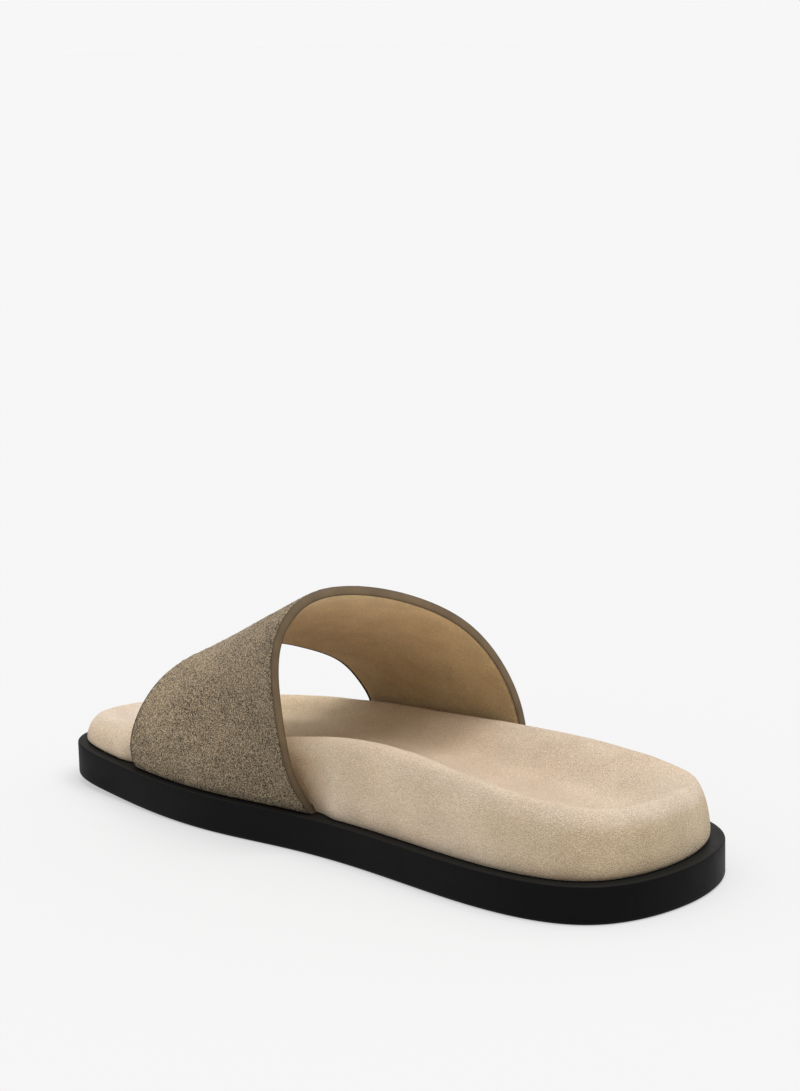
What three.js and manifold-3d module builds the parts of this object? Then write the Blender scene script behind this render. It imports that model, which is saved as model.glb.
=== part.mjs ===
// Slide sandal, right shoe: a foam rubber outsole, a contoured suede footbed and one wide strap.
// Millimetres. +X points to the toe, +Y to the medial (arch) side and +Z up.
// The origin is on the floor, under the middle of the sandal's box.
import * as THREE from "three";
import { mergeVertices } from "three/addons/utils/BufferGeometryUtils.js";
import Module from "manifold-3d";

// Overall sizes of the sole.
const soleLength = 270;
const soleWidth = 96.2;
const outsoleThickness = 13;
const toeSpring = 2.7;
const toeSpringStart = 0.15;
const soleEdgeRadius = 1.6;
const ledgeEdgeRadius = 0.8;

// Sizes of the footbed, with heights measured from the outsole's top.
const ledgeWidth = 3.3;
const rimHeight = 20.8;
const rimRound = 7.2;
const bedThickness = 9.5;

// Sizes of the strap. Its rises are measured from the outsole's top to the outer face.
// Up to hugHeight it follows the curve of the sole's side.
const strapThickness = 3.5;
const strapRearRise = 76;
const strapFrontRise = 44.1;
const strapMedialLength = 90.3;
const strapLateralLength = 81.8;
const strapMedialPlace = 42.9;
const strapLateralPlace = 11.6;
const strapInset = 3.2;
const hugHeight = strapFrontRise * 0.9;
const rearFlare = 6;
const frontFlare = 3;
const flareHeight = 18;
const crownBow = 0.7;
const marginLength = 10;
const marginThickness = 2;

// Free space between two pieces that meet.
const clearance = 0.3;

// The middle line that all rings close on, as shares of the way out to the sole's ends and sides.
const middleLengthShare = 0.7;
const middleWidthShare = 0.4;

// Length over which the footbed's wall draws in to the strap, ahead of it and behind it. The draw-in fades
// with height and ends at a share of the rim, because the strap bulges away from the wall.
const drawInLength = 12;
const drawInRimShare = 0.9;

// Resolution of the faceted surfaces.
const stepsPerRow = 6;
const strapStepsPerRow = 4;
const strapStrips = 9;
const slopeStep = 0.02;
const mergeTolerance = 1e-4;

// Sections round the sole, clockwise from the heel and up the medial side when seen from above.
// along: share of the length from the middle. across: share of half the width.
// rim: share of the rim height. bank: share of the half width over which the bed climbs to the rim.
// ledge: share of the ledge's width.
const soleRows = [
  { place: "heel end", along: -0.515, across: -0.005, rim: 0.96, bank: 0.62, ledge: 1.2 },
  { place: "medial heel corner", along: -0.488, across: 0.695, rim: 1.01, bank: 0.62, ledge: 1.05 },
  { place: "medial heel", along: -0.397, across: 0.935, rim: 1.09, bank: 0.66, ledge: 1 },
  { place: "medial heel front", along: -0.267, across: 0.945, rim: 1.23, bank: 0.78, ledge: 1 },
  { place: "medial arch", along: -0.112, across: 0.845, rim: 1.4, bank: 0.9, ledge: 1 },
  { place: "medial waist", along: 0.017, across: 0.84, rim: 1.2, bank: 0.75, ledge: 1 },
  { place: "medial ball rear", along: 0.14, across: 0.95, rim: 0.86, bank: 0.42, ledge: 1 },
  { place: "medial ball", along: 0.266, across: 0.93, rim: 0.68, bank: 0.3, ledge: 1 },
  { place: "medial toe side", along: 0.383, across: 0.825, rim: 0.56, bank: 0.3, ledge: 1 },
  { place: "medial toe corner", along: 0.479, across: 0.745, rim: 0.49, bank: 0.3, ledge: 1.05 },
  { place: "toe end", along: 0.514, across: 0.41, rim: 0.47, bank: 0.3, ledge: 1.15 },
  { place: "lateral toe corner", along: 0.489, across: -0.07, rim: 0.49, bank: 0.3, ledge: 1.25 },
  { place: "lateral toe side", along: 0.428, across: -0.57, rim: 0.55, bank: 0.3, ledge: 1.2 },
  { place: "lateral ball", along: 0.316, across: -0.925, rim: 0.64, bank: 0.3, ledge: 1.1 },
  { place: "lateral ball rear", along: 0.174, across: -1.06, rim: 0.78, bank: 0.34, ledge: 1.1 },
  { place: "lateral waist", along: 0.028, across: -0.995, rim: 0.88, bank: 0.42, ledge: 1.1 },
  { place: "lateral arch", along: -0.12, across: -1, rim: 0.99, bank: 0.5, ledge: 1.15 },
  { place: "lateral heel front", along: -0.266, across: -1.01, rim: 1, bank: 0.56, ledge: 1.25 },
  { place: "lateral heel", along: -0.39, across: -0.97, rim: 0.9, bank: 0.6, ledge: 1.4 },
  { place: "lateral heel corner", along: -0.478, across: -0.71, rim: 0.91, bank: 0.62, ledge: 1.5 },
];

// Thickness of the bed along its middle, evenly spaced from heel to toe, as shares of bedThickness.
const bedRows = [
  { place: "heel end", bed: 0.95 },
  { place: "heel seat", bed: 0.9 },
  { place: "heel front", bed: 1.0 },
  { place: "arch", bed: 1.2 },
  { place: "behind the ball", bed: 1.2 },
  { place: "ball", bed: 0.98 },
  { place: "toe hollow", bed: 0.9 },
  { place: "toe end", bed: 0.95 },
];

// Sections of the footbed's outer wall, from its foot to the crest of the rim.
// up: share of the rim's height. lean: share of the way in to the crest.
const wallRows = [
  { place: "foot", up: 0, lean: 0 },
  { place: "lower wall", up: 0.28, lean: 0.05 },
  { place: "middle wall", up: 0.55, lean: 0.19 },
  { place: "shoulder", up: 0.77, lean: 0.42 },
  { place: "high shoulder", up: 0.93, lean: 0.7 },
  { place: "crest", up: 1, lean: 1 },
];

// Rings of the bed from the crest of the rim in to the middle line, as shares of the way.
const bedRings = [0.06, 0.15, 0.27, 0.42, 0.6, 0.8, 1];

// Sections over the foot, from the medial foot of the strap to the lateral one.
// span: share of the way between the two feet. rise: share of that edge's rise.
const strapRows = [
  { place: "medial foot", frontSpan: 0, frontRise: 0, rearSpan: 0, rearRise: 0 },
  { place: "medial wall", frontSpan: -0.035, frontRise: 0.215, rearSpan: -0.068, rearRise: 0.142 },
  { place: "medial side", frontSpan: 0.021, frontRise: 0.562, rearSpan: -0.094, rearRise: 0.487 },
  { place: "medial shoulder", frontSpan: 0.152, frontRise: 0.855, rearSpan: -0.11, rearRise: 0.799 },
  { place: "medial crown", frontSpan: 0.375, frontRise: 0.984, rearSpan: 0.034, rearRise: 1.018 },
  { place: "crown", frontSpan: 0.573, frontRise: 1.012, rearSpan: 0.306, rearRise: 1.009 },
  { place: "lateral crown", frontSpan: 0.681, frontRise: 0.939, rearSpan: 0.577, rearRise: 0.904 },
  { place: "lateral shoulder", frontSpan: 0.859, frontRise: 0.803, rearSpan: 0.796, rearRise: 0.753 },
  { place: "lateral side", frontSpan: 0.952, frontRise: 0.576, rearSpan: 0.944, rearRise: 0.522 },
  { place: "lateral wall", frontSpan: 1.039, frontRise: 0.277, rearSpan: 1.021, rearRise: 0.278 },
  { place: "lateral foot", frontSpan: 1, frontRise: 0, rearSpan: 1, rearRise: 0 },
];

// Value of a uniform cubic B-spline through four neighbouring rows, at t between 0 and 1.
function splineValue(before, first, second, after, t) {
  const s = 1 - t;
  const first4 = 3 * t ** 3 - 6 * t ** 2 + 4;
  const second4 = 3 * s ** 3 - 6 * s ** 2 + 4;
  return (s ** 3 * before + first4 * first + second4 * second + t ** 3 * after) / 6;
}

// One column of a closed table at row position u, which may run past either end.
function closedColumn(rows, column, u) {
  const n = rows.length;
  const i = Math.floor(u);
  const at = (k) => rows[(((i + k) % n) + n) % n][column];
  return splineValue(at(-1), at(0), at(1), at(2), u - i);
}

// One column of an open table at row position u. It starts at its first row and ends at its last.
function openColumn(rows, column, u) {
  const last = rows.length - 1;
  const i = Math.min(Math.max(Math.floor(u), 0), last - 1);
  const at = (k) => {
    if (k < 0) return 2 * rows[0][column] - rows[1][column];
    if (k > last) return 2 * rows[last][column] - rows[last - 1][column];
    return rows[k][column];
  };
  return splineValue(at(i - 1), at(i), at(i + 1), at(i + 2), u - i);
}

// Smooth step from 0 to 1 as x goes from 0 to 1.
function smoothStep(x) {
  const t = Math.min(Math.max(x, 0), 1);
  return t * t * (3 - 2 * t);
}

// Height that the toe spring adds to everything at x.
function springAt(x) {
  const share = (x / soleLength - toeSpringStart) / (0.5 - toeSpringStart);
  return toeSpring * Math.max(share, 0) ** 2;
}

// Outline of the sole as points with inward normals, scaled to the named length and width.
function makeOutline() {
  const count = soleRows.length * stepsPerRow;
  const raw = [];
  for (let i = 0; i < count; i++) {
    const u = i / stepsPerRow;
    raw.push(new THREE.Vector2(closedColumn(soleRows, "along", u), closedColumn(soleRows, "across", u)));
  }
  const box = new THREE.Box2().setFromPoints(raw);
  const size = box.getSize(new THREE.Vector2());
  const middle = box.getCenter(new THREE.Vector2());
  const scale = new THREE.Vector2(soleLength / size.x, soleWidth / size.y);
  const points = raw.map((p) => p.clone().sub(middle).multiply(scale));
  return points.map((point, i) => {
    const next = points[(i + 1) % count];
    const previous = points[(i + count - 1) % count];
    const way = next.clone().sub(previous).normalize();
    return { point, inward: new THREE.Vector2(way.y, -way.x) };
  });
}

const outline = makeOutline();
const ringCount = outline.length;

// Half width of the sole at x, on the medial side (side 1) or the lateral side (side -1).
function halfWidthAt(x, side) {
  let width = 0;
  for (let i = 0; i < ringCount; i++) {
    const a = outline[i].point;
    const b = outline[(i + 1) % ringCount].point;
    if ((a.x - x) * (b.x - x) > 0 || a.x === b.x) continue;
    const y = a.y + ((b.y - a.y) * (x - a.x)) / (b.x - a.x);
    width = Math.max(width, side * y);
  }
  return width;
}

// Point of the outline drawn in by inset.
function insetPoint(i, inset) {
  const { point, inward } = outline[i];
  return new THREE.Vector2(point.x + inward.x * inset, point.y + inward.y * inset);
}

// Point of the middle line that the medial and the lateral station of one pair share.
function middlePoint(i) {
  const a = outline[i].point;
  const b = outline[(ringCount - i) % ringCount].point;
  return new THREE.Vector2(((a.x + b.x) / 2) * middleLengthShare, ((a.y + b.y) / 2) * middleWidthShare);
}

// Closed mesh over a list of rings, where the first and the last ring lie on the middle line.
// ringPoint(ring, i) gives the corner of that ring at station i.
function ringSolid(ringTotal, ringPoint) {
  const corners = [];
  const add = (...triangle) => corners.push(...triangle.flatMap((p) => [p.x, p.y, p.z]));
  for (let ring = 0; ring + 1 < ringTotal; ring++) {
    for (let i = 0; i < ringCount; i++) {
      const j = (i + 1) % ringCount;
      const a = ringPoint(ring, i);
      const b = ringPoint(ring, j);
      const c = ringPoint(ring + 1, j);
      const d = ringPoint(ring + 1, i);
      add(a, c, b);
      add(a, d, c);
    }
  }
  return closedGeometry(corners);
}

// Indexed geometry of a triangle soup, without the triangles that have no area.
function closedGeometry(corners) {
  const soup = new THREE.BufferGeometry();
  soup.setAttribute("position", new THREE.Float32BufferAttribute(corners, 3));
  const merged = mergeVertices(soup, mergeTolerance);
  const index = [];
  for (let i = 0; i < merged.index.count; i += 3) {
    const [a, b, c] = [0, 1, 2].map((k) => merged.index.getX(i + k));
    if (a !== b && b !== c && c !== a) index.push(a, b, c);
  }
  merged.setIndex(index);
  return merged;
}

// Outsole: from the middle of its underside out to the edge, up the side and in over the ledge to the middle.
function makeOutsole() {
  const top = outsoleThickness;
  const lower = soleEdgeRadius;
  const upper = ledgeEdgeRadius;
  const lowerCorner = lower * (1 - Math.SQRT1_2);
  const upperCorner = upper * (1 - Math.SQRT1_2);
  const rings = [
    { inset: lower, z: 0 },
    { inset: lowerCorner, z: lowerCorner },
    { inset: 0, z: lower },
    { inset: 0, z: top - upper },
    { inset: upperCorner, z: top - upperCorner },
    { inset: upper, z: top },
    { inset: ledgeWidth, z: top },
  ];
  return ringSolid(rings.length + 2, (ring, i) => {
    const row = rings[ring - 1];
    const p = row ? insetPoint(i, row.inset) : middlePoint(i);
    const z = row ? row.z : ring === 0 ? 0 : top;
    return new THREE.Vector3(p.x, p.y, z + springAt(p.x));
  });
}

// Foot of the strap on the medial side (side 1) or the lateral side (side -1), at t from its front end
// to its rear end. It follows the sole's outline at strapInset.
function strapFoot(side, t) {
  const place = side > 0 ? strapMedialPlace : strapLateralPlace;
  const length = side > 0 ? strapMedialLength : strapLateralLength;
  const x = place + length * (0.5 - t);
  return new THREE.Vector2(x, side * (halfWidthAt(x, side) - strapInset));
}

const [medialFoot, lateralFoot] = [1, -1].map((side) => {
  return { side, front: strapFoot(side, 0), rear: strapFoot(side, 1) };
});

// Inset of the footbed's wall from the sole's outline at station i and at up, a share of the rim's height.
// It goes from the wall's foot to the crest of the rim as lean goes from 0 to 1.
// Beside each foot of the strap the wall draws in to the strap's inner face.
function wallInset(i, up, lean) {
  const { x, y } = outline[i].point;
  const { front, rear } = y > 0 ? medialFoot : lateralFoot;
  const ahead = smoothStep((front.x + drawInLength - x) / drawInLength);
  const behind = smoothStep((x - rear.x + drawInLength) / drawInLength);
  const drawnIn = ahead * behind * (1 - smoothStep(up / drawInRimShare));
  const besideStrap = strapInset + strapThickness + clearance;
  const ledge = ledgeWidth * closedColumn(soleRows, "ledge", i / stepsPerRow);
  const foot = THREE.MathUtils.lerp(ledge, besideStrap, drawnIn);
  const crest = THREE.MathUtils.lerp(ledgeWidth, besideStrap, drawnIn) + rimRound;
  return THREE.MathUtils.lerp(foot, crest, lean);
}

// Footbed before the strap's seats are cut: underside, wall, rim and bed.
function makeFootbedBlank() {
  const base = outsoleThickness + clearance;
  const wallCount = wallRows.length;
  const ringTotal = 1 + wallCount + bedRings.length;
  return ringSolid(ringTotal, (ring, i) => {
    const middle = middlePoint(i);
    if (ring === 0) return new THREE.Vector3(middle.x, middle.y, base + springAt(middle.x));
    const u = i / stepsPerRow;
    const rim = rimHeight * closedColumn(soleRows, "rim", u);
    if (ring <= wallCount) {
      const row = wallRows[ring - 1];
      const p = insetPoint(i, wallInset(i, row.up, row.lean));
      return new THREE.Vector3(p.x, p.y, base + rim * row.up + springAt(p.x));
    }
    const share = bedRings[ring - 1 - wallCount];
    const crest = insetPoint(i, wallInset(i, 1, 1));
    const p = crest.lerp(middle, share);
    const stationShare = 0.5 + middle.x / (soleLength * middleLengthShare);
    const bed = bedThickness * openColumn(bedRows, "bed", stationShare * (bedRows.length - 1));
    const bank = closedColumn(soleRows, "bank", u);
    const height = bed + (rim - bed) * smoothStep(1 - share / bank);
    return new THREE.Vector3(p.x, p.y, base + height + springAt(p.x));
  });
}

// Outer face of the strap at row position u from foot to foot, and at t from its front edge to its rear edge.
// Its height is measured from the strap's foot, without the toe spring.
function strapPoint(u, t) {
  const edgePoint = (edge, riseName, spanName, rise, flare) => {
    const span = openColumn(strapRows, spanName, u);
    const up = rise * openColumn(strapRows, riseName, u);
    const p = medialFoot[edge].clone().lerp(lateralFoot[edge], span);
    const draw = flare * (1 - Math.exp(-Math.max(up, 0) / flareHeight));
    return new THREE.Vector3(p.x + draw, p.y, up);
  };
  const front = edgePoint("front", "frontRise", "frontSpan", strapFrontRise, -frontFlare);
  const rear = edgePoint("rear", "rearRise", "rearSpan", strapRearRise, rearFlare);
  const p = front.lerp(rear, t);
  const foot = u < (strapRows.length - 1) / 2 ? medialFoot : lateralFoot;
  const straight = foot.front.clone().lerp(foot.rear, t);
  p.y += (strapFoot(foot.side, t).y - straight.y) * (1 - smoothStep(p.z / hugHeight));
  p.z += crownBow * 4 * t * (1 - t) * smoothStep(p.z / strapFrontRise);
  return p;
}

// Outward normal of the strap's outer face, from its slopes over a short step.
function strapNormal(u, t) {
  const last = strapRows.length - 1;
  const [left, right] = [Math.max(u - slopeStep, 0), Math.min(u + slopeStep, last)];
  const across = strapPoint(right, t).sub(strapPoint(left, t));
  const along = strapPoint(u, t + slopeStep).sub(strapPoint(u, t - slopeStep));
  return along.cross(across).normalize();
}

// Strap with its two lasting margins, as a closed sheet with thickness. Grown by grow on every face.
function makeStrap(grow) {
  const rowSteps = (strapRows.length - 1) * strapStepsPerRow;
  const outer = [];
  const inner = [];
  const overhang = grow / strapMedialLength;
  for (let j = 0; j <= strapStrips; j++) {
    const t = -overhang + ((1 + 2 * overhang) * j) / strapStrips;
    const outerLine = [];
    const innerLine = [];
    for (let k = 0; k <= rowSteps; k++) {
      const u = k / strapStepsPerRow;
      const p = strapPoint(u, t);
      const normal = strapNormal(u, t);
      if (k === 0 || k === rowSteps) normal.setZ(0).normalize();
      outerLine.push(p.clone().addScaledVector(normal, grow));
      innerLine.push(p.clone().addScaledVector(normal, -strapThickness - grow));
    }
    for (const side of [1, -1]) {
      const foot = side === 1 ? 0 : outerLine.length - 1;
      outerLine[foot].z = -grow;
      innerLine[foot].z = marginThickness + grow;
      const outerEnd = innerLine[foot].clone();
      outerEnd.y -= side * (marginLength + grow);
      const innerEnd = outerEnd.clone();
      outerEnd.z = -grow;
      if (side === 1) {
        outerLine.unshift(outerEnd);
        innerLine.unshift(innerEnd);
      } else {
        outerLine.push(outerEnd);
        innerLine.push(innerEnd);
      }
    }
    outer.push(outerLine);
    inner.push(innerLine);
  }
  const base = outsoleThickness + clearance;
  for (const p of [...outer.flat(), ...inner.flat()]) p.z += base + springAt(p.x);
  return sheetSolid(outer, inner);
}

// Closed mesh between two matching grids of points, the second one lying on the inner side.
function sheetSolid(outer, inner) {
  const corners = [];
  const add = (...triangle) => corners.push(...triangle.flatMap((p) => [p.x, p.y, p.z]));
  const quad = (a, b, c, d) => {
    add(a, c, b);
    add(a, d, c);
  };
  const lines = outer.length - 1;
  const steps = outer[0].length - 1;
  for (let j = 0; j < lines; j++) {
    for (let k = 0; k < steps; k++) {
      quad(outer[j][k], outer[j][k + 1], outer[j + 1][k + 1], outer[j + 1][k]);
      quad(inner[j][k], inner[j + 1][k], inner[j + 1][k + 1], inner[j][k + 1]);
    }
    quad(outer[j][0], outer[j + 1][0], inner[j + 1][0], inner[j][0]);
    quad(outer[j + 1][steps], outer[j][steps], inner[j][steps], inner[j + 1][steps]);
  }
  for (let k = 0; k < steps; k++) {
    quad(outer[0][k + 1], outer[0][k], inner[0][k], inner[0][k + 1]);
    quad(outer[lines][k], outer[lines][k + 1], inner[lines][k + 1], inner[lines][k]);
  }
  return closedGeometry(corners);
}

const wasm = await Module();
wasm.setup();

// Solid of a closed geometry, and back again.
function toSolid(geometry) {
  const vertProperties = new Float32Array(geometry.attributes.position.array);
  const triVerts = new Uint32Array(geometry.index.array);
  return new wasm.Manifold(new wasm.Mesh({ numProp: 3, vertProperties, triVerts }));
}

function toGeometry(solid) {
  const mesh = solid.getMesh();
  const geometry = new THREE.BufferGeometry();
  geometry.setAttribute("position", new THREE.BufferAttribute(mesh.vertProperties, 3));
  geometry.setIndex(new THREE.BufferAttribute(mesh.triVerts, 1));
  return geometry;
}

// Footbed with the two seats that hold the strap's feet and margins.
function makeFootbed() {
  return toGeometry(toSolid(makeFootbedBlank()).subtract(toSolid(makeStrap(clearance))));
}

// Named mesh with its own material.
function makeMesh(name, geometry, color, roughness) {
  geometry.computeVertexNormals();
  const material = new THREE.MeshStandardMaterial({ color, roughness, metalness: 0 });
  const mesh = new THREE.Mesh(geometry, material);
  mesh.name = name;
  return mesh;
}

const group = new THREE.Group();
group.add(makeMesh("outsole", makeOutsole(), 0x181818, 0.75));
group.add(makeMesh("footbed", makeFootbed(), 0xc9b292, 0.95));
group.add(makeMesh("strap", makeStrap(0), 0x74654f, 0.9));

// The strap bulges past the sole, so the origin moves across to the middle of the whole sandal's box.
const wholeBox = new THREE.Box3().setFromObject(group);
group.position.y = -(wholeBox.min.y + wholeBox.max.y) / 2;

export default group;
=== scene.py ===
"""Slide sandal, right shoe: the finished outsole, footbed and strap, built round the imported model.

Metres. +X points to the toe, +Y to the medial (arch) side and +Z up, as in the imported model.
"""

import math
from collections import namedtuple

import bmesh
import bpy
import numpy as np
from mathutils import Matrix, Quaternion, Vector


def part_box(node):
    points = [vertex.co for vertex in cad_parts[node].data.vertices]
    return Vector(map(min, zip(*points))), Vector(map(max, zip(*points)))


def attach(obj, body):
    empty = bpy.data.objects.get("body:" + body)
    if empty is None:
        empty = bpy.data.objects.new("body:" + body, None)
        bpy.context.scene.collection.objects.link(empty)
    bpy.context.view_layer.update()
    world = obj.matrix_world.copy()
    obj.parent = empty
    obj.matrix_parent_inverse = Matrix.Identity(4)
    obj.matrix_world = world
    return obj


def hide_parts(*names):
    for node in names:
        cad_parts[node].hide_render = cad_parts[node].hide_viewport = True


bl_info = {
    "name": "Slide Sandal",
    "version": (1, 0, 0),
    "blender": (4, 5, 0),
    "location": "3D View > Sidebar > Sandal",
    "description": "Builds a slide sandal with a suede footbed and a nubuck strap",
    "category": "Add Mesh",
}

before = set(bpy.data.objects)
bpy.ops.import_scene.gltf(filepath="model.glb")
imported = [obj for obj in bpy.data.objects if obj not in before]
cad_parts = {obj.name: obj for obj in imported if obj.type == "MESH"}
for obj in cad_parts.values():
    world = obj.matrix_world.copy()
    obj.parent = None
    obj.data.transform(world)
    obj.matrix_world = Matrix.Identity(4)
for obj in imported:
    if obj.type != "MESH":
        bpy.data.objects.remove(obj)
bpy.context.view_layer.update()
outsole_low, outsole_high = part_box("outsole")

MM = 0.001
WHITE = (1.0, 1.0, 1.0)

# The strap bulges past the sole, so the sole's middle lies a little beside the origin.
SOLE_MIDDLE_Y = (outsole_low.y + outsole_high.y) / 2

# Free space between two pieces that meet.
CLEARANCE = 0.3 * MM

# Corners closer than this are one corner, and edges shorter than the second value are taken out.
MERGE_DISTANCE = 0.002 * MM
SHORTEST_EDGE = MERGE_DISTANCE / 10

# Points round the sole in every ring of the outsole and the footbed.
STATIONS = 720

# Sections round the sole, clockwise from the heel and up the medial side when seen from above.
# along: share of the length from the middle. across: share of half the width.
# rim: share of the rim height. bank: share of the half width over which the bed climbs to the rim.
# ledge: share of the ledge's width.
SoleRow = namedtuple("SoleRow", "place along across rim bank ledge")
SOLE_ROWS = [
    SoleRow("heel end", -0.515, -0.005, 0.96, 0.62, 1.2),
    SoleRow("medial heel corner", -0.488, 0.695, 1.01, 0.62, 1.05),
    SoleRow("medial heel", -0.397, 0.935, 1.09, 0.66, 1.0),
    SoleRow("medial heel front", -0.267, 0.945, 1.23, 0.78, 1.0),
    SoleRow("medial arch", -0.112, 0.845, 1.4, 0.9, 1.0),
    SoleRow("medial waist", 0.017, 0.84, 1.2, 0.75, 1.0),
    SoleRow("medial ball rear", 0.14, 0.95, 0.86, 0.42, 1.0),
    SoleRow("medial ball", 0.266, 0.93, 0.68, 0.3, 1.0),
    SoleRow("medial toe side", 0.383, 0.825, 0.56, 0.3, 1.0),
    SoleRow("medial toe corner", 0.479, 0.745, 0.49, 0.3, 1.05),
    SoleRow("toe end", 0.514, 0.41, 0.47, 0.3, 1.15),
    SoleRow("lateral toe corner", 0.489, -0.07, 0.49, 0.3, 1.25),
    SoleRow("lateral toe side", 0.428, -0.57, 0.55, 0.3, 1.2),
    SoleRow("lateral ball", 0.316, -0.925, 0.64, 0.3, 1.1),
    SoleRow("lateral ball rear", 0.174, -1.06, 0.78, 0.34, 1.1),
    SoleRow("lateral waist", 0.028, -0.995, 0.88, 0.42, 1.1),
    SoleRow("lateral arch", -0.12, -1.0, 0.99, 0.5, 1.15),
    SoleRow("lateral heel front", -0.266, -1.01, 1.0, 0.56, 1.25),
    SoleRow("lateral heel", -0.39, -0.97, 0.9, 0.6, 1.4),
    SoleRow("lateral heel corner", -0.478, -0.71, 0.91, 0.62, 1.5),
]

# Rings of the outsole: shares of the way out to its outline underneath and on top, shares of its thickness
# up its side, and insets of the ledge.
UNDER_SHARES = (0.0, 0.3, 0.6, 0.85)
SIDE_SHARES = (0.3, 0.5, 0.7)
LEDGE_INSETS = (2 * MM, 4 * MM, 8 * MM)
TOP_SHARES = (0.5, 0.0)

# Rings of the rounding below the ledge that already have the ledge's colour, painted lighter as highlight.
LEDGE_ROUNDING_RINGS = 3

# Thickness of the bed along its middle from heel to toe, as shares of the bed's thickness.
BedRow = namedtuple("BedRow", "place bed")
BED_ROWS = [
    BedRow("heel end", 0.95),
    BedRow("heel seat", 0.9),
    BedRow("heel front", 1.0),
    BedRow("arch", 1.2),
    BedRow("behind the ball", 1.2),
    BedRow("ball", 0.98),
    BedRow("toe hollow", 0.9),
    BedRow("toe end", 0.95),
]

# Sections of the footbed's wall, from its foot to the crest of the rim.
# up: share of the rim's height. lean: share of the way in to the crest. tuck: share of the rolled-in foot.
WallRow = namedtuple("WallRow", "place up lean tuck")
WALL_ROWS = [
    WallRow("foot", 0.0, 0.0, 1.0),
    WallRow("above the foot", 0.08, 0.0, 0.15),
    WallRow("lower wall", 0.28, 0.05, 0.0),
    WallRow("middle wall", 0.55, 0.19, 0.0),
    WallRow("shoulder", 0.77, 0.42, 0.0),
    WallRow("high shoulder", 0.93, 0.7, 0.0),
    WallRow("crest", 1.0, 1.0, 0.0),
]

# Rings of the bed from the crest of the rim in to the middle line, as shares of the way.
BED_RINGS = [0.06, 0.15, 0.27, 0.42, 0.6, 0.8, 1.0]

# Rings of the footbed's surface between two of the sections above.
RINGS_PER_ROW = 7

# Rings of the footbed's underside. out: share of the way from the middle line to the wall's foot.
# raised: 1 where the underside lies on a lasting margin, if there is one.
UnderRow = namedtuple("UnderRow", "out raised")
UNDER_ROWS = [
    UnderRow(0.0, 0),
    UnderRow(0.3, 0),
    UnderRow(0.54, 0),
    UnderRow(0.55, 1),
    UnderRow(0.7, 1),
    UnderRow(0.85, 1),
]

# The underside of the footbed is raised up to this far from both ends of a strap's foot.
RAISED_END = 1 * MM

# The middle line that all rings close on, as shares of the way out to the sole's ends and sides.
MIDDLE_LENGTH_SHARE = 0.7
MIDDLE_WIDTH_SHARE = 0.4

# Share of the rim's height at which the draw-in beside the strap ends.
DRAW_IN_RIM_SHARE = 0.9

# Soft unevenness of the suede cover, and the shares of the way from the wall's foot to the middle line
# over which it grows and dies away.
Ripple = namedtuple("Ripple", "amount wavelength seed")
SUEDE_RIPPLES = [Ripple(0.09 * MM, 26 * MM, 3), Ripple(0.03 * MM, 9 * MM, 5)]
RIPPLE_GROWTH = 1 / 12
RIPPLE_DECAY = 1 / 6

# Section of the footbed where the colour of its side gives way to that of its top, and over how many.
SIDE_COLOUR_ROW = 3.4
SIDE_COLOUR_FADE = 1.3

# Sections of the strap over the foot, from its medial foot to its lateral one.
# span: share of the way between the two feet. rise: share of that edge's rise.
StrapRow = namedtuple("StrapRow", "place front_span front_rise rear_span rear_rise")
STRAP_ROWS = [
    StrapRow("medial foot", 0.0, 0.0, 0.0, 0.0),
    StrapRow("medial wall", -0.035, 0.215, -0.068, 0.142),
    StrapRow("medial side", 0.021, 0.562, -0.094, 0.487),
    StrapRow("medial shoulder", 0.152, 0.855, -0.11, 0.799),
    StrapRow("medial crown", 0.375, 0.984, 0.034, 1.018),
    StrapRow("crown", 0.573, 1.012, 0.306, 1.009),
    StrapRow("lateral crown", 0.681, 0.939, 0.577, 0.904),
    StrapRow("lateral shoulder", 0.859, 0.803, 0.796, 0.753),
    StrapRow("lateral side", 0.952, 0.576, 0.944, 0.522),
    StrapRow("lateral wall", 1.039, 0.277, 1.021, 0.278),
    StrapRow("lateral foot", 1.0, 0.0, 1.0, 0.0),
]
LAST_STRAP_ROW = len(STRAP_ROWS) - 1

# Edges of the strap. draw: how far forward the edge runs above its feet, once it has risen by DRAW_RISE.
StrapEdge = namedtuple("StrapEdge", "place end draw")
FRONT_EDGE = StrapEdge("front", 0, -3 * MM)
REAR_EDGE = StrapEdge("rear", 1, 6 * MM)
DRAW_RISE = 18 * MM

# Bow of the strap between its edges, and the share of the front edge's rise up to which the strap follows
# the curve of the sole's side.
STRAP_BOW = 0.7 * MM
HUG_SHARE = 0.9

# Steps along the rows and across the strap for working out its slopes, and the rows from each foot over
# which its normal is laid level.
SLOPE_STEP = 0.02
LEVEL_ROWS = 0.5

# Rings of the strap's sheets and of its painted edges, and how close rings and strips crowd at their ends.
SHEET_RINGS = 320
EDGE_RINGS = 300
RING_CROWDING = 0.6
STRIP_CROWDING = 0.8

# Thickness of the nubuck with its padding, and the gap between it and the lining.
NUBUCK_THICKNESS = 1.5 * MM
LINING_GAP = 0.05 * MM

# Layers of the strap. top, low: depths of its two sides below the strap's outer face.
# top_dip, low_dip: how far the two sides dip into the layer beside the painted edge.
# short: how far it stops short of the strap's edges. strips: points across the strap.
Layer = namedtuple("Layer", "top low top_dip low_dip short strips")

# Widths of the two dips, and how much shorter a layer stops at the strap's feet, over how many rows.
TOP_DIP_WIDTH = 0.45 * MM
LOW_DIP_WIDTH = 0.8 * MM
FOOT_SHORT = 0.7 * MM
FOOT_SHORT_ROWS = 0.3

# Height of the nubuck's grain and the seed of its heights.
GRAIN_HEIGHT = 0.12 * MM
GRAIN_SEED = 11

# Rounding of the strap's outer face where it meets the outsole.
FOOT_RADIUS = 0.6 * MM

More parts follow.
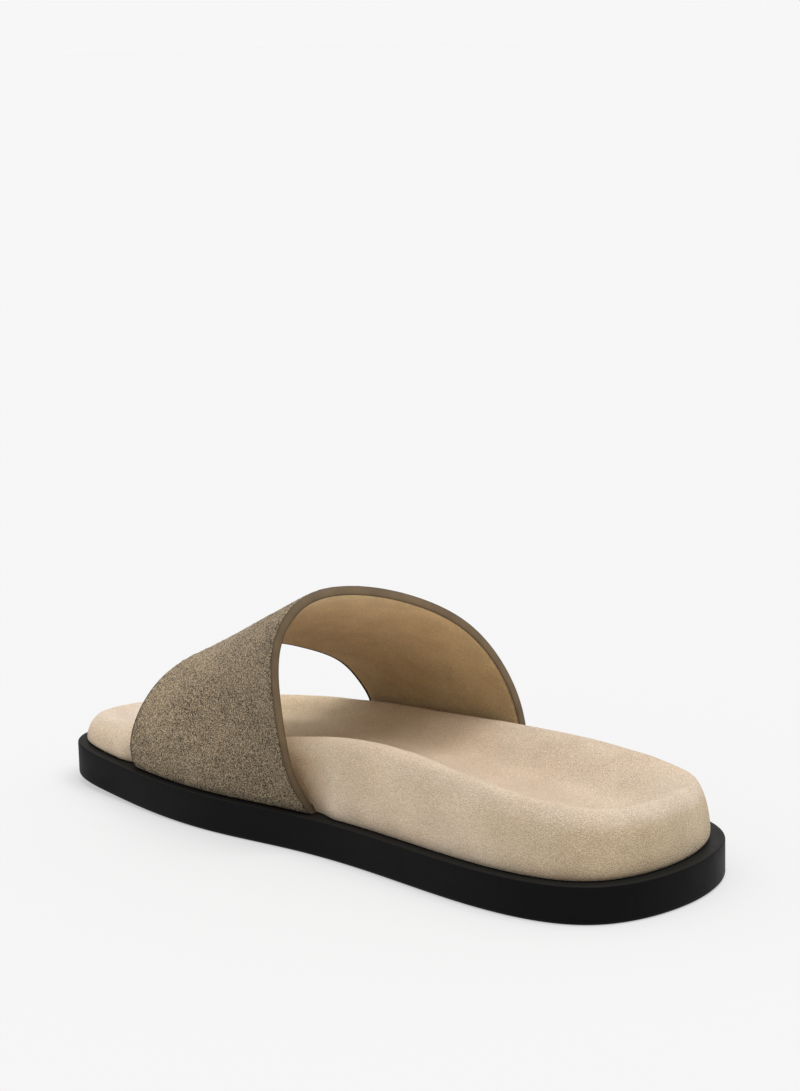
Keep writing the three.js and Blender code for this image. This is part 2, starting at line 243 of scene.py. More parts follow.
# What stands on a lasting margin is raised by the margin's thickness, less and less over this height.
LIFT_FALL = 2 * MM
LINING_LIFT = 0.12 * MM

# Lasting margins: least reach, how far from the strap's edges they start to widen, and over how much.
MARGIN_LEAST_REACH = 0.2 * MM
MARGIN_TAPER_START = 2.5 * MM
MARGIN_TAPER_LENGTH = 4 * MM

# Bead of paint along the strap's edges: points round it, how far its middle lies outwards of the middle of
# the strap's thickness and in from the edge, how far it stays below both faces, half its width along the
# strap, and the power that squares its ellipse.
BEAD_POINTS = 28
BEAD_OUTWARD = 0.05 * MM
BEAD_INWARD = 0.05 * MM
BEAD_BELOW_FACE = 0.1 * MM
BEAD_HALF_WIDTH = 0.36 * MM
BEAD_POWER = 0.88

# Painted shade: parts of a material made darker low down, near the floor. It goes from dark at the height
# low to full colour at high, and the height wanders by soft noise.
Shade = namedtuple("Shade", "low high dark wander")
FOOTBED_SHADE = Shade(13 * MM, 21 * MM, 0.78, 9 * MM)
LINING_SHADE = Shade(30 * MM, 80 * MM, 0.62, 14 * MM)
NUBUCK_FOOT_SHADE = Shade(13 * MM, 17 * MM, 0.6, 1.5 * MM)
NUBUCK_SHADE = Shade(20 * MM, 78 * MM, 0.82, 9 * MM)
EDGE_SHADE = Shade(13 * MM, 46 * MM, 0.48, 3 * MM)

# Changes of a material's colour along the sandal, most of them painted shade and painted light: between
# start and end, both along X, it goes from the colour times first to the colour times last.
Tint = namedtuple("Tint", "place start end first last")
# The footbed's side. heel: painted shade, darker towards the heel. waist: painted shade beside and under the
# strap, darker and redder from the strap's rear edge forward. toe: lighter and bluer towards the toe.
SIDE_TINTS = [
    Tint("heel", -130 * MM, -75 * MM, (0.77, 0.745, 0.67), WHITE),
    Tint("waist", -13 * MM, 2 * MM, WHITE, (0.88, 0.79, 0.70)),
    Tint("toe", 70 * MM, 88 * MM, WHITE, (1.25, 1.39, 1.57)),
]
# The footbed's top. forefoot: painted warm bounce light from the lining, yellower under the strap and ahead
# of it. toe: that yellow taken back, and a little lighter and bluer at the toe.
TOP_TINTS = [
    Tint("forefoot", -20 * MM, 25 * MM, WHITE, (1.04, 1.0, 0.88)),
    Tint("toe", 80 * MM, 105 * MM, WHITE, (1.02, 1.07, 1.26)),
]
# Painted shade: the strap darker towards its rear and a little lighter at its front.
NUBUCK_REAR_PAINTED_SHADE = Tint("strap", 0.0, 70 * MM, (0.77, 0.77, 0.77), (1.03, 1.03, 1.03))
# Painted shade: the outsole's side darker towards the toe.
RUBBER_TOE_PAINTED_SHADE = Tint("toe", 60 * MM, 115 * MM, WHITE, (0.3, 0.3, 0.3))

# Noise that is turned and drawn out as brushed leather is.
Stretch = namedtuple("Stretch", "turn scale")
SUEDE_STRETCH = Stretch((0.3, 0.2, 0.5), (0.75, 1.25, 1.0))
NUBUCK_STRETCH = Stretch((0.0, 0.6, 0.3), (0.8, 1.2, 1.0))

# Camera fitted to the photograph, in the photograph's pixels: its focal length, the picture's long side,
# and how far the point that the camera circles lies left of and below the picture's middle.
FOCAL_PIXELS = 2710.2
LONG_SIDE_PIXELS = 1091
AIM_LEFT_PIXELS = 17.9
AIM_BELOW_PIXELS = 222.54

# Stage: width of the camera's sensor in millimetres, its nearest and farthest distance, the height of the
# point that it circles, half the floor's side, the key light's spread and way, and the share of the way
# round from heel (-1) to toe (1) over which the dome brightens.
SENSOR_WIDTH = 36
CLIP_START = 0.05
CLIP_END = 60.0
AIM_HEIGHT = 20 * MM
FLOOR_REACH = 12.0
KEY_SPREAD = math.radians(50)
KEY_WAY = Vector((-0.4, 0.0, 1))
DOME_RAMP_START = -0.9
DOME_RAMP_END = 0.3


def length(name, description, default):
    """Property for a length in metres."""
    return bpy.props.FloatProperty(
        name=name,
        description=description,
        default=default,
        subtype="DISTANCE",
        unit="LENGTH",
    )


def angle(name, description, default):
    """Property for an angle in radians."""
    return bpy.props.FloatProperty(
        name=name,
        description=description,
        default=default,
        subtype="ANGLE",
        unit="ROTATION",
    )


def share_of_one(name, description, default):
    """Property for a share from 0 to 1."""
    return bpy.props.FloatProperty(
        name=name,
        description=description,
        default=default,
        subtype="FACTOR",
        min=0,
        max=1,
    )


def strength(name, description, default):
    """Property for the strength of a light."""
    return bpy.props.FloatProperty(name=name, description=description, default=default)


def colour(name, description, default):
    """Property for a colour."""
    return bpy.props.FloatVectorProperty(
        name=name,
        description=description,
        default=default,
        subtype="COLOR",
    )


class SandalSizes(bpy.types.PropertyGroup):
    """Sizes of the sandal's pieces"""

    sole_length: length("Sole length", "Length of the outsole", outsole_high.x - outsole_low.x)
    sole_width: length("Sole width", "Greatest width of the outsole", outsole_high.y - outsole_low.y)
    outsole_thickness: length("Outsole thickness", "Thickness of the foam rubber slab", 13 * MM)
    toe_spring: length("Toe spring", "Height of the toe above the floor", 2.7 * MM)
    toe_spring_start: share_of_one(
        "Toe spring start", "Where the spring starts, as a share of the length from the middle", 0.15
    )
    sole_edge_radius: length("Sole edge radius", "Rounding of the outsole's lower edge", 1.6 * MM)
    ledge_edge_radius: length("Ledge edge radius", "Rounding of the outsole's upper edge", 0.8 * MM)
    ledge_width: length("Ledge width", "Width of the ledge outside the footbed", 3.3 * MM)
    rim_height: length("Rim height", "Height of the footbed's rim above the outsole", 20.8 * MM)
    rim_round: length(
        "Rim rounding", "Distance from the foot of the wall in to the crest of the rim", 7.2 * MM
    )
    wall_tuck: length("Wall tuck", "How far the suede rolls in at the foot of the wall", 0.9 * MM)
    bed_thickness: length("Bed thickness", "Thickness of the bed at the middle", 9.5 * MM)
    draw_in_length: length(
        "Draw-in length", "Length over which the footbed's wall draws in to the strap", 12 * MM
    )
    strap_thickness: length("Strap thickness", "Thickness of the lined strap", 3.5 * MM)
    strap_rear_rise: length("Strap rear rise", "Height of the strap's rear edge above the outsole", 76 * MM)
    strap_front_rise: length(
        "Strap front rise", "Height of the strap's front edge above the outsole", 44.1 * MM
    )
    strap_medial_length: length("Medial foot length", "Length of the strap's medial foot", 90.3 * MM)
    strap_lateral_length: length("Lateral foot length", "Length of the strap's lateral foot", 81.8 * MM)
    strap_medial_place: length(
        "Medial foot place", "Middle of the strap's medial foot along the sole", 42.9 * MM
    )
    strap_lateral_place: length(
        "Lateral foot place", "Middle of the strap's lateral foot along the sole", 11.6 * MM
    )
    strap_inset: length("Strap inset", "Distance of the strap's foot from the sole's outline", 3.2 * MM)
    margin_length: length("Lasting margin length", "How far the strap turns in under the footbed", 9 * MM)
    margin_thickness: length(
        "Lasting margin thickness", "Thickness of the skived margin under the footbed", 2 * MM
    )


class SandalColours(bpy.types.PropertyGroup):
    """Colours of the sandal's materials"""

    rubber: colour("Foam rubber", "Colour of the outsole", (0.0036, 0.0036, 0.0036))
    # Painted highlight: the ledge's upper face is lighter than the side, for the light that grazes it.
    rubber_ledge_painted_highlight: colour(
        "Foam rubber ledge", "Colour of the outsole's upper face, painted lighter as highlight", (0.0115, 0.011, 0.0098)
    )
    suede_light: colour(
        "Suede, brushed up", "Colour of the footbed's suede where its nap stands", (0.70, 0.57, 0.45)
    )
    suede_dark: colour(
        "Suede, brushed down", "Colour of the footbed's suede where its nap lies", (0.41, 0.32, 0.235)
    )
    # The footbed's side is the same suede as its top. Its own copy of the colours carries the side's painted
    # light and shade, with the side tints.
    side_light: colour(
        "Side suede, brushed up", "Colour of the footbed's side where its nap stands", (0.73, 0.587, 0.443)
    )
    side_dark: colour(
        "Side suede, brushed down", "Colour of the footbed's side where its nap lies", (0.39, 0.305, 0.215)
    )
    lining_light: colour(
        "Lining, brushed up", "Colour of the strap's lining where its nap stands", (0.89, 0.66, 0.36)
    )
    lining_dark: colour(
        "Lining, brushed down", "Colour of the strap's lining where its nap lies", (0.50, 0.35, 0.185)
    )
    nubuck_light: colour(
        "Nubuck, high grain", "Colour of the strap on the tips of its grain", (0.69, 0.531, 0.337)
    )
    nubuck_dark: colour("Nubuck, deep grain", "Colour of the strap between its grain", (0.02, 0.014, 0.008))
    edge_paint: colour("Edge paint", "Colour of the strap's painted edge", (0.122, 0.082, 0.043))


class SandalStage(bpy.types.PropertyGroup):
    """Camera, floor and lights"""

    azimuth: angle(
        "Camera azimuth", "Turn of the camera from the medial side towards the heel", math.radians(44.605)
    )
    elevation: angle("Camera elevation", "Angle of the camera above the floor", math.radians(16.14))
    distance: length("Camera distance", "Distance of the camera from the sandal", 0.95363)
    pan: angle("Pan", "Turn of the camera to the left", math.atan(-AIM_LEFT_PIXELS / FOCAL_PIXELS))
    tilt: angle("Tilt", "Turn of the camera upwards", math.atan(AIM_BELOW_PIXELS / FOCAL_PIXELS))
    roll: angle("Roll", "Turn of the camera about its view", math.radians(1.523))
    focal_length: bpy.props.FloatProperty(
        name="Focal length",
        description="Focal length in millimetres, for the sensor's width as the picture's long side",
        default=SENSOR_WIDTH * FOCAL_PIXELS / LONG_SIDE_PIXELS,
        subtype="DISTANCE_CAMERA",
    )
    floor_tone: share_of_one("Floor tone", "Reflectance of the floor", 0.30)
    floor_glow: strength("Floor glow", "Light that the lit floor gives by itself", 0.477)
    dome_strength: strength("Dome strength", "Brightness of the light from all round", 0.93)
    dome_heel_share: share_of_one(
        "Dome on the heel side", "Share of the dome's brightness that comes from behind the heel", 0.6
    )
    key_strength: strength("Key strength", "Strength of the broad soft light from above the heel", 2.3)


def column(rows, name):
    """One column of a table, as an array."""
    return np.array([getattr(row, name) for row in rows], float)


def smooth_step(x):
    """3x^2 - 2x^3 between 0 and 1, level outside."""
    t = np.clip(x, 0, 1)
    return t * t * (3 - 2 * t)


def crowded(count, crowding):
    """Shares from 0 to 1 that lie closer at both ends: s - crowding * sin(2 pi s) / (2 pi)."""
    share = np.linspace(0, 1, count)
    return share - crowding * np.sin(2 * math.pi * share) / (2 * math.pi)


def spline_weights(t):
    """Weights of four rows of a uniform cubic B-spline, at t from 0 to 1 between the middle two."""
    s = 1 - t
    return np.stack([s**3, 3 * t**3 - 6 * t**2 + 4, 3 * s**3 - 6 * s**2 + 4, t**3]) / 6


def closed_spline(values, u):
    """Uniform cubic B-spline led by a ring of values, at row position u."""
    first = np.floor(u).astype(int)
    picks = np.stack([(first + k) % len(values) for k in (-1, 0, 1, 2)])
    return np.sum(spline_weights(u - first) * values[picks], axis=0)


def open_spline(values, u):
    """Uniform cubic B-spline from the first value to the last, whose ends are mirrored through them."""
    before = 2 * values[0] - values[1]
    after = 2 * values[-1] - values[-2]
    padded = np.concatenate([[before], values, [after]])
    first = np.clip(np.floor(u).astype(int), 0, len(values) - 2)
    picks = np.stack([first + k for k in range(4)])
    weights = spline_weights(u - first)
    weights = weights.reshape(weights.shape + (1,) * (values.ndim - 1))
    return np.sum(weights * padded[picks], axis=0)


def controls_through(points):
    """Rows whose open B-spline passes through the points: the tridiagonal system (1, 4, 1) / 6 solved."""
    count = len(points)
    system = (4 * np.eye(count) + np.eye(count, k=1) + np.eye(count, k=-1)) / 6
    system[0] = np.eye(count)[0]
    system[-1] = np.eye(count)[-1]
    return np.linalg.solve(system, points.reshape(count, -1)).reshape(points.shape)


def spring_at(sizes, x):
    """Toe spring at x: nothing up to its start, then a parabola up to the toe."""
    share = (x / sizes.sole_length - sizes.toe_spring_start) / (0.5 - sizes.toe_spring_start)
    return sizes.toe_spring * np.maximum(share, 0) ** 2


Outline = namedtuple("Outline", "rows points inward")


def sole_outline(sizes):
    """Outline of the sole: the closed spline of the sections, scaled to the sole's length and width.

    The inward normal is the way from the previous station to the next, turned a quarter."""
    rows = np.arange(STATIONS) * len(SOLE_ROWS) / STATIONS
    along = closed_spline(column(SOLE_ROWS, "along"), rows)
    across = closed_spline(column(SOLE_ROWS, "across"), rows)
    raw = np.stack([along, across], axis=1)
    low, high = raw.min(axis=0), raw.max(axis=0)
    points = (raw - (low + high) / 2) * [sizes.sole_length, sizes.sole_width] / (high - low)
    way = np.roll(points, -1, axis=0) - np.roll(points, 1, axis=0)
    way /= np.linalg.norm(way, axis=1, keepdims=True)
    return Outline(rows, points, np.stack([way[:, 1], -way[:, 0]], axis=1))


def middle_line(outline):
    """Point of the middle line that the medial and the lateral station of one pair share."""
    partner = np.roll(outline.points[::-1], 1, axis=0)
    return (outline.points + partner) / 2 * [MIDDLE_LENGTH_SHARE, MIDDLE_WIDTH_SHARE]


def half_width(outline, x, side):
    """Half width of the sole at x, on the medial side (1) or the lateral side (-1)."""
    chosen = outline.points[outline.points[:, 1] * side > 0]
    order = np.argsort(chosen[:, 0])
    return np.interp(x, chosen[order, 0], side * chosen[order, 1])


def strap_foot(sizes, outline, side, t):
    """Foot of the strap at t from its front end to its rear end: the sole's outline drawn in by the inset."""
    place = sizes.strap_medial_place if side > 0 else sizes.strap_lateral_place
    foot_length = sizes.strap_medial_length if side > 0 else sizes.strap_lateral_length
    x = place + foot_length * (0.5 - np.asarray(t, float))
    return np.stack([x, side * (half_width(outline, x, side) - sizes.strap_inset)], axis=-1)


def beside_strap(sizes, outline):
    """How far each station is beside the strap: 1 between the foot's ends, eased to 0 over the draw-in."""
    x = outline.points[:, 0]
    beside = np.zeros(len(x))
    for side in (1, -1):
        front, rear = strap_foot(sizes, outline, side, [0, 1])[:, 0]
        ahead = smooth_step((front + sizes.draw_in_length - x) / sizes.draw_in_length)
        behind = smooth_step((x - rear + sizes.draw_in_length) / sizes.draw_in_length)
        beside = np.where(outline.points[:, 1] * side > 0, ahead * behind, beside)
    return beside


def over_margin(sizes, outline):
    """1 at the stations whose footbed stands on a lasting margin, and 0 elsewhere."""
    x = outline.points[:, 0]
    over = np.zeros(len(x))
    for side in (1, -1):
        front, rear = strap_foot(sizes, outline, side, [0, 1])[:, 0]
        inside = (x < front - RAISED_END) & (x > rear + RAISED_END)
        over[inside & (outline.points[:, 1] * side > 0)] = 1
    return over


def at_height(sizes, flat, z):
    """Points of the plan lifted to z, with the toe spring added."""
    z = np.broadcast_to(z, flat.shape[:-1]) + spring_at(sizes, flat[..., 0])
    return np.concatenate([flat, z[..., None]], axis=-1)


def ring_faces(rows, columns):
    """Faces between neighbouring rows of a grid whose columns close to a ring."""
    i, j = np.meshgrid(np.arange(rows - 1), np.arange(columns), indexing="ij")
    following = (j + 1) % columns
    corners = [i * columns + j, (i + 1) * columns + j, (i + 1) * columns + following, i * columns + following]
    return np.stack(corners, axis=-1).reshape(-1, 4)


def add_piece(name, node, points, faces, material, side=None):
    """Mesh of a grid of points and quads, merged, smooth, moved to the sandal's frame and tied to the model.

    side, if given, is stored at each point: 1 on the piece's side and 0 on its top or middle."""
    corners = points.reshape(-1, 3) + [0, SOLE_MIDDLE_Y, 0]
    mesh = bpy.data.meshes.new(name)
    mesh.vertices.add(len(corners))
    mesh.vertices.foreach_set("co", corners.ravel())
    mesh.loops.add(faces.size)
    mesh.loops.foreach_set("vertex_index", faces.ravel())
    mesh.polygons.add(len(faces))
    mesh.polygons.foreach_set("loop_start", np.arange(len(faces)) * 4)
    mesh.polygons.foreach_set("use_smooth", np.ones(len(faces), bool))
    mesh.update(calc_edges=True)
    if side is not None:
        values = np.broadcast_to(side, points.shape[:-1]).ravel()
        mesh.attributes.new("side", "FLOAT", "POINT").data.foreach_set("value", values)
    mesh.validate()
    merge_doubles(mesh)
    mesh.materials.append(material)
    piece = bpy.data.objects.new(name, mesh)
    bpy.context.collection.objects.link(piece)
    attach(piece, "root")
    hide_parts(node)


def merge_doubles(mesh):
    """Merges the corners that seams and poles share."""
    form = bmesh.new()
    form.from_mesh(mesh)
    bmesh.ops.remove_doubles(form, verts=form.verts, dist=MERGE_DISTANCE)
    bmesh.ops.dissolve_degenerate(form, edges=form.edges, dist=SHORTEST_EDGE)
    form.to_mesh(mesh)
    form.free()


def fill_inputs(owner, node, inputs):
    """Gives each input of a node, by its name or place, a number, a vector or a colour, or links a socket."""
    for name, value in inputs.items():
        socket = node.inputs[name]
        if isinstance(value, bpy.types.NodeSocket):
            owner.node_tree.links.new(value, socket)
        elif socket.type == "RGBA":
            socket.default_value = (*value, 1)
        else:
            socket.default_value = value


def add_node(owner, kind, inputs, **settings):
    """New node in a material or a world, with its settings made before its inputs are filled."""
    node = owner.node_tree.nodes.new(kind)
    for name, value in settings.items():
        setattr(node, name, value)
    fill_inputs(owner, node, inputs)
    return node


def start_material(name):
    """New node material: the material, its shader and its object coordinates."""
    material = bpy.data.materials.new(name)
    material.use_nodes = True
    material.node_tree.nodes.clear()
    shader = add_node(material, "ShaderNodeBsdfPrincipled", {})
    add_node(material, "ShaderNodeOutputMaterial", {"Surface": shader.outputs["BSDF"]})
    place = add_node(material, "ShaderNodeTexCoord", {})
    return material, shader, place.outputs["Object"]


def noise(material, place, size, detail=2, roughness=0.5, stretch=None):
    """Noise whose patches are about size metres across, turned and stretched if stretch is given."""
    if stretch:
        inputs = {"Vector": place, "Rotation": stretch.turn, "Scale": stretch.scale}
        place = add_node(material, "ShaderNodeMapping", inputs).outputs["Vector"]
    inputs = {"Vector": place, "Scale": 1 / size, "Detail": detail, "Roughness": roughness}
    return add_node(material, "ShaderNodeTexNoise", inputs).outputs["Fac"]


def crumbs(material, place, size):
    """Random value of each of the small cells, about size metres across, that fill the space."""
    inputs = {"Vector": place, "Scale": 1 / size}
    return add_node(material, "ShaderNodeTexVoronoi", inputs).outputs["Color"]


def stored_side(material):
    """The side value that is stored at the piece's points."""
    return add_node(material, "ShaderNodeAttribute", {}, attribute_name="side").outputs["Fac"]


def axis(owner, place, name):
    """One axis of a place: X, Y or Z."""
    return add_node(owner, "ShaderNodeSeparateXYZ", {"Vector": place}).outputs[name]


def spread(owner, value, low, high, out_low=0.0, out_high=1.0, way="LINEAR"):
    """Value spread from low..high to out_low..out_high, clamped."""
    inputs = {"Value": value, "From Min": low, "From Max": high, "To Min": out_low, "To Max": out_high}
    return add_node(owner, "ShaderNodeMapRange", inputs, interpolation_type=way).outputs["Result"]


def combine(material, operation, first, second):
    """Arithmetic of two values, each a socket or a number."""
    return add_node(material, "ShaderNodeMath", {0: first, 1: second}, operation=operation).outputs[0]


def weighted_sum(material, parts):
    """Sum of the parts, each a socket times its weight."""
    total = None
    for value, weight in parts:
        part = combine(material, "MULTIPLY", value, weight)
        total = combine(material, "ADD", total, part) if total else part
    return total


def blend_colours(material, share, first, second):
    """Colour from first to second as share goes from 0 to 1. Each is a colour or a socket."""
    inputs = {"Factor": share, 6: first, 7: second}
    return add_node(material, "ShaderNodeMix", inputs, data_type="RGBA").outputs[2]


def multiply_colours(material, first, second):
    """Product of two colour sockets."""
    inputs = {0: first, 1: second}
    return add_node(material, "ShaderNodeVectorMath", inputs, operation="MULTIPLY").outputs["Vector"]


def tint_along(material, base, place, tint):
    """Colour times a tint that goes from its first colour to its last between its two places along X."""
    share = spread(material, axis(material, place, "X"), tint.start, tint.end)
    return multiply_colours(material, base, blend_colours(material, share, tint.first, tint.last))


def shade_by_height(material, base, place, shade):
    """Painted shade: colour times a grey that goes from dark at the shade's low height to white at its high
    one.

    The height wanders up and down by soft noise, so the dark part ends in patches."""
    height = axis(material, place, "Z")
    patches = combine(material, "SUBTRACT", noise(material, place, 11 * MM, detail=3, roughness=0.6), 0.5)
    height = combine(material, "ADD", height, combine(material, "MULTIPLY", patches, shade.wander))
    grey = spread(material, height, shade.low, shade.high, shade.dark, way="SMOOTHSTEP")
    inputs = {0: base, "Scale": grey}
    return add_node(material, "ShaderNodeVectorMath", inputs, operation="SCALE").outputs["Vector"]


def raise_grain(material, shader, layers):
    """Bump nodes one after the other: each layer is a height, its depth in metres and its strength."""
    normal = None
    for height, depth, amount in layers:
        inputs = {"Height": height, "Distance": depth, "Strength": amount}
        if normal:
            inputs["Normal"] = normal
        normal = add_node(material, "ShaderNodeBump", inputs).outputs["Normal"]
    fill_inputs(material, shader, {"Normal": normal})


def scaled(base, share):
    """A colour times a number."""
    return [channel * share for channel in base]


def suede_material(name, nap_colours, patch, clouds, shade, side_colours=None):
    """Suede: a short nap in fine noise, soft brushed patches of lighter and darker nap, and sheen.

    Each pair of colours is for nap that lies and nap that stands. side_colours, if given, are those of the
    piece's side, and then the side and top tints lay painted shade and light along the piece. shade darkens
    it low down as painted shade. clouds is how much the patches count, and patch is the size of the smaller
    ones."""
    material, shader, place = start_material(name)
    nap = noise(material, place, 0.3 * MM, detail=0)
    tuft = noise(material, place, 0.8 * MM, roughness=0.6)
    brushed = noise(material, place, patch, stretch=SUEDE_STRETCH)
    wide = noise(material, place, patch * 3.2)
    fibres = spread(material, crumbs(material, place, 0.32 * MM), low=0.3, high=0.7)
    fibres = combine(material, "ADD", fibres, spread(material, nap, low=0.43, high=0.57))
    brushed_share = spread(material, brushed, low=0.36, high=0.66)
    wide_share = spread(material, wide, low=0.35, high=0.65)
    parts = [(brushed_share, clouds * 0.6), (wide_share, clouds * 0.4), (fibres, (1 - clouds) / 2)]
    share = weighted_sum(material, parts)
    base = blend_colours(material, share, *nap_colours)
    if side_colours:
        side = blend_colours(material, share, *side_colours)
        for tint in SIDE_TINTS:
            side = tint_along(material, side, place, tint)
        for tint in TOP_TINTS:
            base = tint_along(material, base, place, tint)
        base = blend_colours(material, stored_side(material), base, side)
    hue_share = spread(material, wide, low=0.38, high=0.62)
    hue = blend_colours(material, hue_share, (1.02, 0.99, 0.95), (0.99, 1.005, 1.0))
    base = multiply_colours(material, base, hue)
    inputs = {
        "Base Color": shade_by_height(material, base, place, shade),
        "Roughness": 0.95,
        "Specular IOR Level": 0.12,
        "Sheen Weight": 0.3,
        "Sheen Roughness": 0.4,
        "Sheen Tint": (1.0, 0.9, 0.78),
    }
    fill_inputs(material, shader, inputs)
    raise_grain(material, shader, [(tuft, 0.2 * MM, 0.25), (nap, 0.3 * MM, 1.0)])
    return material


def nubuck_material(colours):
    """Nubuck: pale grain tips over dark hollows, in coarse speckles, under wide cloudy patches."""
    material, shader, place = start_material("strap_nubuck")
    grain = noise(material, place, 0.26 * MM, detail=1)
    fine = spread(material, crumbs(material, place, 0.27 * MM), low=0.38, high=0.8)
    hollows = spread(material, grain, low=0.43, high=0.56)
    cloud = noise(material, place, 16 * MM, detail=3, stretch=NUBUCK_STRETCH)
    patches = spread(material, cloud, low=0.3, high=0.7, out_low=-0.07, out_high=0.07)
    share = weighted_sum(material, [(hollows, 0.15), (fine, 0.85)])
    share = combine(material, "ADD", share, patches)
    base = blend_colours(material, share, colours.nubuck_dark, colours.nubuck_light)
    # Painted shade: darker just above the outsole and low down on the strap, and, below, darker towards its
    # rear.
    base = shade_by_height(material, base, place, NUBUCK_FOOT_SHADE)
    base = shade_by_height(material, base, place, NUBUCK_SHADE)
    inputs = {
        "Base Color": tint_along(material, base, place, NUBUCK_REAR_PAINTED_SHADE),
        "Roughness": 0.85,
        "Specular IOR Level": 0.1,
        "Sheen Weight": 0.12,
        "Sheen Roughness": 0.5,
        "Sheen Tint": (1.0, 0.92, 0.8),
    }
    fill_inputs(material, shader, inputs)
    raise_grain(material, shader, [(grain, 0.4 * MM, 1.0), (fine, 0.12 * MM, 0.6)])
    return material


def edge_paint_material(colours):
    """Edge paint: smooth and slightly glossy, with a faint brushed unevenness."""
    material, shader, place = start_material("strap_edge_paint")
    skin = noise(material, place, 0.8 * MM, detail=3)
    sweep = noise(material, place, 7 * MM)
    dark, light = scaled(colours.edge_paint, 0.86), scaled(colours.edge_paint, 1.1)
    base = blend_colours(material, spread(material, sweep, low=0.35, high=0.65), dark, light)
    # Painted shade: the bead darker where it meets the strap's two faces, in the grooves beside it, and a
    # little lighter along its middle; it is also darker low down.
    rim = blend_colours(material, stored_side(material), scaled(WHITE, 1.1), scaled(WHITE, 0.45))
    base = multiply_colours(material, base, rim)
    inputs = {
        "Base Color": shade_by_height(material, base, place, EDGE_SHADE),
        "Roughness": spread(material, skin, low=0.3, high=0.7, out_low=0.5, out_high=0.62),
        "Specular IOR Level": 0.35,
    }
    fill_inputs(material, shader, inputs)
    raise_grain(material, shader, [(sweep, 0.2 * MM, 0.3), (skin, 0.05 * MM, 0.35)])
    return material


def rubber_material(colours):
    """Foam rubber: matte near-black with a fine pitted skin and faint worn patches."""
    material, shader, place = start_material("outsole_rubber")
    pits = noise(material, place, 0.6 * MM, detail=3, roughness=0.6)
    skin = noise(material, place, 12 * MM, detail=3)
    dark, light = scaled(colours.rubber, 0.85), scaled(colours.rubber, 1.35)
    side = blend_colours(material, spread(material, pits, low=0.35, high=0.7), dark, light)
    # Painted shade: the side darker towards the toe.
    side = tint_along(material, side, place, RUBBER_TOE_PAINTED_SHADE)
    # Painted highlight: the ledge's upper face is given the lighter ledge colour.
    inputs = {
        "Base Color": blend_colours(material, stored_side(material), colours.rubber_ledge_painted_highlight, side),
        "Roughness": spread(material, skin, low=0.3, high=0.7, out_low=0.48, out_high=0.58),
        "Specular IOR Level": 0.06,
    }
    fill_inputs(material, shader, inputs)
    raise_grain(material, shader, [(pits, 0.06 * MM, 0.5)])
    return material


def rounded_corner(radius, steps=6):
    """Insets and heights of a quarter circle from a face to the side below or above it, from the face on."""
    turn = np.linspace(0, math.pi / 2, steps)
    return radius * (1 - np.sin(turn)), radius * (1 - np.cos(turn))


def outsole_skin(sizes, outline):
    """Rings of the outsole from the middle of its underside, up its side and in to the middle of its top.

    Underneath and on top a ring is a share of the way from the middle line to the outline. On the side it
    is the outline drawn in by an inset, which follows a quarter circle at both edges. The second result is
    1 for the rings below the ledge and 0 for the rest."""
    middle = middle_line(outline)
    top = sizes.outsole_thickness
    lower_inset, lower_height = rounded_corner(sizes.sole_edge_radius)
    upper_inset, upper_drop = rounded_corner(sizes.ledge_edge_radius)
    side = list(zip(lower_inset, lower_height))
    side += [(0.0, top * share) for share in SIDE_SHARES]
    side += list(zip(upper_inset, top - upper_drop))[::-1]
    ledge = [(inset, top) for inset in LEDGE_INSETS]
    way_out = outline.points - middle
    rings = [at_height(sizes, middle + way_out * share, 0.0) for share in UNDER_SHARES]
    rings += [at_height(sizes, outline.points + outline.inward * inset, z) for inset, z in side + ledge]
    rings += [at_height(sizes, middle + way_out * share, top) for share in TOP_SHARES]
    below_ledge = np.arange(len(rings)) < len(UNDER_SHARES) + len(side) - LEDGE_ROUNDING_RINGS
    return np.array(rings), below_ledge[:, None].astype(float)


class SANDAL_OT_outsole(bpy.types.Operator):
    """Builds the foam rubber outsole"""

    bl_idname = "sandal.outsole"
    bl_label = "Outsole"

    def execute(self, context):
        sizes, colours = context.scene.sandal_sizes, context.scene.sandal_colours
        points, side = outsole_skin(sizes, sole_outline(sizes))
        faces = ring_faces(*points.shape[:2])
        add_piece("outsole_foam", "outsole", points, faces, rubber_material(colours), side)
        return {"FINISHED"}


def ripple_height(points, ripple, waves=8, slowest=0.6, fastest=1.4):
    """Soft unevenness over a surface: sine waves of about one wavelength in seeded directions, added up.

    The sum is divided by the square root of their number."""
    random = np.random.default_rng(ripple.seed)
    ways = random.normal(size=(waves, 3))
    rates = (2 * math.pi / ripple.wavelength) * random.uniform(slowest, fastest, (waves, 1))
    ways *= rates / np.linalg.norm(ways, axis=1, keepdims=True)
    phases = random.uniform(0, 2 * math.pi, waves)
    return ripple.amount * np.sin(points @ ways.T + phases).sum(axis=-1) / math.sqrt(waves)


def grid_normals(points):
    """Outward normals of a grid of rings: its slope along the rows crossed with its slope round the rings."""
    down = np.gradient(points, axis=0)
    across = np.roll(points, -1, axis=1) - np.roll(points, 1, axis=1)
    normals = np.cross(down, across)
    return normals / np.maximum(np.linalg.norm(normals, axis=-1, keepdims=True), 1e-12)


